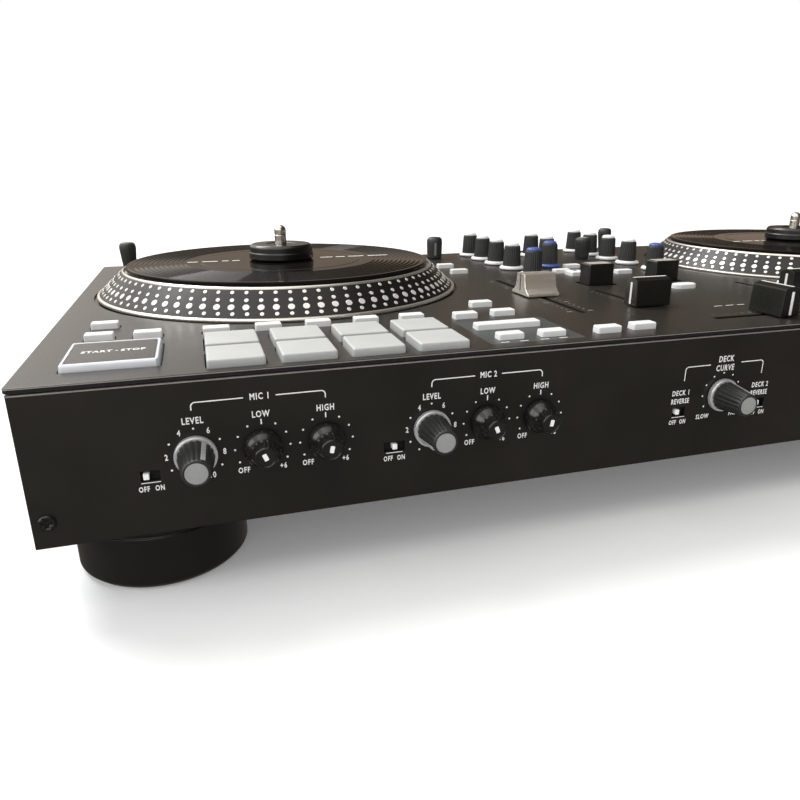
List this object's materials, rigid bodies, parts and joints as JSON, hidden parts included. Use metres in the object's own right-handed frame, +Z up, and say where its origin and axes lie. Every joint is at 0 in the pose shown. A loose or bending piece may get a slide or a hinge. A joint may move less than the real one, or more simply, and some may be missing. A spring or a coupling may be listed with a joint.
{
  "type": "dj controller",
  "caption": "Two-deck motorised DJ controller with platters, performance pads, a fader and knob mixer, and rotary microphone controls on its front panel.",
  "frame": {"origin": "middle of the bounding box's footprint, on the plane the four feet stand on", "axes": "+X to the player's right along the front panel, +Y away from the player towards the rear sockets, +Z up"},
  "size_m": [0.673, 0.334, 0.129],
  "materials": {
    "tray_paint": "fine satin black powder coat",
    "face_paint": "satin dark grey-brown metal flake",
    "foot_rubber": "satin moulded",
    "circuit_board": "solder mask",
    "steel_can": "folded sheet",
    "motor_steel": "turned",
    "socket_plastic": "moulded",
    "socket_steel": "stamped sheet",
    "fader_steel": "stamped sheet",
    "platter_aluminium": "turned, black strobe band",
    "disc_vinyl": "grooved near the rim",
    "puck_plastic": "moulded",
    "spindle_steel": "turned",
    "button_bezel": "satin bezel round a dark cap",
    "pad_silicone": "translucent matt",
    "key_plastic": "translucent matt",
    "cap_metal": "satin plated",
    "cap_plastic": "semi-gloss",
    "paddle_rubber": "soft-touch",
    "deck_knob_rubber": "fluted soft-touch",
    "front_knob_plastic": "fluted semi-gloss"
  },
  "bodies": {
    "casing": {"bottom_tray": "tray_paint", "top_plate": "face_paint", "foot_front_left": "foot_rubber", "foot_front_right": "foot_rubber", "foot_rear_left": "foot_rubber", "foot_rear_right": "foot_rubber", "main_board": "circuit_board", "power_supply": "steel_can", "deck_motor_left": "motor_steel", "deck_motor_right": "motor_steel", "power_inlet": "socket_plastic", "usb_block": "socket_steel", "line_jack_block": "socket_plastic", "mic_jack_block": "socket_plastic", "mixer_fader_frame": "fader_steel", "pitch_fader_unit_left": "fader_steel", "pitch_fader_unit_right": "fader_steel"},
    "platter_left": {"platter_left": "platter_aluminium", "disc_left": "disc_vinyl", "puck_left": "puck_plastic", "spindle_left": "spindle_steel"},
    "platter_right": {"platter_right": "platter_aluminium", "disc_right": "disc_vinyl", "puck_right": "puck_plastic", "spindle_right": "spindle_steel"},
    "start_stop_left": {"start_stop_button_left": "button_bezel"},
    "pads_left": {"pad_mat_left": "pad_silicone"},
    "mode_keys_left": {"mode_keys_left": "key_plastic"},
    "loop_keys_left": {"loop_keys_left": "key_plastic"},
    "start_stop_right": {"start_stop_button_right": "button_bezel"},
    "pads_right": {"pad_mat_right": "pad_silicone"},
    "mode_keys_right": {"mode_keys_right": "key_plastic"},
    "loop_keys_right": {"loop_keys_right": "key_plastic"},
    "pitch_fader_left": {"pitch_fader_cap_left": "cap_metal"},
    "pitch_fader_right": {"pitch_fader_cap_right": "cap_metal"},
    "line_fader_1": {"line_fader_cap_1": "cap_plastic"},
    "line_fader_2": {"line_fader_cap_2": "cap_plastic"},
    "crossfader": {"crossfader_cap": "cap_plastic"},
    "effect_paddle_1": {"effect_paddle_1": "paddle_rubber"},
    "effect_paddle_2": {"effect_paddle_2": "paddle_rubber"},
    "channel_1_trim": {"channel_1_trim_knob": "deck_knob_rubber"},
    "channel_1_high": {"channel_1_high_knob": "deck_knob_rubber"},
    "channel_1_mid": {"channel_1_mid_knob": "deck_knob_rubber"},
    "channel_1_low": {"channel_1_low_knob": "deck_knob_rubber"},
    "channel_1_filter": {"channel_1_filter_knob": "deck_knob_rubber"},
    "channel_2_trim": {"channel_2_trim_knob": "deck_knob_rubber"},
    "channel_2_high": {"channel_2_high_knob": "deck_knob_rubber"},
    "channel_2_mid": {"channel_2_mid_knob": "deck_knob_rubber"},
    "channel_2_low": {"channel_2_low_knob": "deck_knob_rubber"},
    "channel_2_filter": {"channel_2_filter_knob": "deck_knob_rubber"},
    "master": {"master_knob": "deck_knob_rubber"},
    "booth": {"booth_knob": "deck_knob_rubber"},
    "effect": {"effect_knob": "deck_knob_rubber"},
    "mic_1_level": {"mic_1_level_knob": "front_knob_plastic"},
    "mic_2_level": {"mic_2_level_knob": "front_knob_plastic"},
    "contour": {"contour_knob": "front_knob_plastic"},
    "mic_1_low": {"mic_1_low_knob": "front_knob_plastic"},
    "mic_1_high": {"mic_1_high_knob": "front_knob_plastic"},
    "mic_2_low": {"mic_2_low_knob": "front_knob_plastic"},
    "mic_2_high": {"mic_2_high_knob": "front_knob_plastic"}
  },
  "joints": [
    {"name": "platter_left_spin", "type": "hinge", "parent": "casing", "child": "platter_left", "pos_m": [-0.2189, 0.0325, 0.0916], "axis": [0, 0, 1], "continuous": true},
    {"name": "platter_right_spin", "type": "hinge", "parent": "casing", "child": "platter_right", "pos_m": [0.1801, 0.0325, 0.0916], "axis": [0, 0, 1], "continuous": true},
    {"name": "start_stop_left_press", "type": "slide", "parent": "casing", "child": "start_stop_left", "axis": [0, 0, 1], "range_m": [-0.0015, 0], "stiffness_N_per_m": 800, "springref_m": 0.002},
    {"name": "pad_mat_left_press", "type": "slide", "parent": "casing", "child": "pads_left", "axis": [0, 0, 1], "range_m": [-0.0012, 0], "stiffness_N_per_m": 2000, "springref_m": 0.002},
    {"name": "mode_keys_left_press", "type": "slide", "parent": "casing", "child": "mode_keys_left", "axis": [0, 0, 1], "range_m": [-0.001, 0], "stiffness_N_per_m": 1500, "springref_m": 0.001},
    {"name": "loop_keys_left_press", "type": "slide", "parent": "casing", "child": "loop_keys_left", "axis": [0, 0, 1], "range_m": [-0.001, 0], "stiffness_N_per_m": 1500, "springref_m": 0.001},
    {"name": "start_stop_right_press", "type": "slide", "parent": "casing", "child": "start_stop_right", "axis": [0, 0, 1], "range_m": [-0.0015, 0], "stiffness_N_per_m": 800, "springref_m": 0.002},
    {"name": "pad_mat_right_press", "type": "slide", "parent": "casing", "child": "pads_right", "axis": [0, 0, 1], "range_m": [-0.0012, 0], "stiffness_N_per_m": 2000, "springref_m": 0.002},
    {"name": "mode_keys_right_press", "type": "slide", "parent": "casing", "child": "mode_keys_right", "axis": [0, 0, 1], "range_m": [-0.001, 0], "stiffness_N_per_m": 1500, "springref_m": 0.001},
    {"name": "loop_keys_right_press", "type": "slide", "parent": "casing", "child": "loop_keys_right", "axis": [0, 0, 1], "range_m": [-0.001, 0], "stiffness_N_per_m": 1500, "springref_m": 0.001},
    {"name": "pitch_fader_left_slide", "type": "slide", "parent": "casing", "child": "pitch_fader_left", "axis": [0, 1, 0], "range_m": [-0.05, 0.05]},
    {"name": "pitch_fader_right_slide", "type": "slide", "parent": "casing", "child": "pitch_fader_right", "axis": [0, 1, 0], "range_m": [-0.05, 0.05]},
    {"name": "line_fader_1_slide", "type": "slide", "parent": "casing", "child": "line_fader_1", "axis": [0, 1, 0], "range_m": [0, 0.045]},
    {"name": "line_fader_2_slide", "type": "slide", "parent": "casing", "child": "line_fader_2", "axis": [0, 1, 0], "range_m": [0, 0.045]},
    {"name": "crossfader_slide", "type": "slide", "parent": "casing", "child": "crossfader", "axis": [1, 0, 0], "range_m": [-0.031, 0.014]},
    {"name": "effect_paddle_1_tilt", "type": "hinge", "parent": "casing", "child": "effect_paddle_1", "pos_m": [-0.0255, -0.0175, 0.0851], "axis": [1, 0, 0], "range_deg": [-10, 10], "stiffness_Nm_per_rad": 0.1},
    {"name": "effect_paddle_2_tilt", "type": "hinge", "parent": "casing", "child": "effect_paddle_2", "pos_m": [0.024, -0.017, 0.0851], "axis": [1, 0, 0], "range_deg": [-10, 10], "stiffness_Nm_per_rad": 0.1},
    {"name": "channel_1_trim_turn", "type": "hinge", "parent": "casing", "child": "channel_1_trim", "pos_m": [-0.0505, 0.1365, 0.0916], "axis": [0, 0, 1], "range_deg": [-150, 150]},
    {"name": "channel_1_high_turn", "type": "hinge", "parent": "casing", "child": "channel_1_high", "pos_m": [-0.0505, 0.1105, 0.0916], "axis": [0, 0, 1], "range_deg": [-150, 150]},
    {"name": "channel_1_mid_turn", "type": "hinge", "parent": "casing", "child": "channel_1_mid", "pos_m": [-0.0505, 0.0835, 0.0916], "axis": [0, 0, 1], "range_deg": [-150, 150]},
    {"name": "channel_1_low_turn", "type": "hinge", "parent": "casing", "child": "channel_1_low", "pos_m": [-0.0505, 0.0555, 0.0916], "axis": [0, 0, 1], "range_deg": [-150, 150]},
    {"name": "channel_1_filter_turn", "type": "hinge", "parent": "casing", "child": "channel_1_filter", "pos_m": [-0.0505, 0.0225, 0.0916], "axis": [0, 0, 1], "range_deg": [-170, 130]},
    {"name": "channel_2_trim_turn", "type": "hinge", "parent": "casing", "child": "channel_2_trim", "pos_m": [0.047, 0.1365, 0.0916], "axis": [0, 0, 1], "range_deg": [-150, 150]},
    {"name": "channel_2_high_turn", "type": "hinge", "parent": "casing", "child": "channel_2_high", "pos_m": [0.047, 0.1105, 0.0916], "axis": [0, 0, 1], "range_deg": [-150, 150]},
    {"name": "channel_2_mid_turn", "type": "hinge", "parent": "casing", "child": "channel_2_mid", "pos_m": [0.047, 0.0835, 0.0916], "axis": [0, 0, 1], "range_deg": [-150, 150]},
    {"name": "channel_2_low_turn", "type": "hinge", "parent": "casing", "child": "channel_2_low", "pos_m": [0.047, 0.0555, 0.0916], "axis": [0, 0, 1], "range_deg": [-150, 150]},
    {"name": "channel_2_filter_turn", "type": "hinge", "parent": "casing", "child": "channel_2_filter", "pos_m": [0.047, 0.0225, 0.0916], "axis": [0, 0, 1], "range_deg": [-170, 130]},
    {"name": "master_turn", "type": "hinge", "parent": "casing", "child": "master", "pos_m": [-0.0035, 0.1185, 0.0916], "axis": [0, 0, 1], "range_deg": [-150, 150]},
    {"name": "booth_turn", "type": "hinge", "parent": "casing", "child": "booth", "pos_m": [-0.003, 0.0925, 0.0916], "axis": [0, 0, 1], "range_deg": [-150, 150]},
    {"name": "effect_turn", "type": "hinge", "parent": "casing", "child": "effect", "pos_m": [-0.019, 0.058, 0.0916], "axis": [0, 0, 1], "range_deg": [-150, 150]},
    {"name": "mic_1_level_turn", "type": "hinge", "parent": "casing", "child": "mic_1_level", "pos_m": [-0.2765, -0.149, 0.0596], "axis": [0, -1, 0], "range_deg": [-125, 175]},
    {"name": "mic_2_level_turn", "type": "hinge", "parent": "casing", "child": "mic_2_level", "pos_m": [-0.1823, -0.149, 0.0596], "axis": [0, -1, 0], "range_deg": [-265, 35]},
    {"name": "contour_turn", "type": "hinge", "parent": "casing", "child": "contour", "pos_m": [-0.0357, -0.149, 0.0596], "axis": [0, -1, 0], "range_deg": [-125, 175]},
    {"name": "mic_1_low_turn", "type": "hinge", "parent": "casing", "child": "mic_1_low", "pos_m": [-0.2515, -0.149, 0.0596], "axis": [0, -1, 0], "range_deg": [-172, 128]},
    {"name": "mic_1_high_turn", "type": "hinge", "parent": "casing", "child": "mic_1_high", "pos_m": [-0.2265, -0.149, 0.0596], "axis": [0, -1, 0], "range_deg": [-138, 162]},
    {"name": "mic_2_low_turn", "type": "hinge", "parent": "casing", "child": "mic_2_low", "pos_m": [-0.1573, -0.149, 0.0596], "axis": [0, -1, 0], "range_deg": [-172, 128]},
    {"name": "mic_2_high_turn", "type": "hinge", "parent": "casing", "child": "mic_2_high", "pos_m": [-0.1323, -0.149, 0.0596], "axis": [0, -1, 0], "range_deg": [-138, 162]}
  ]
}
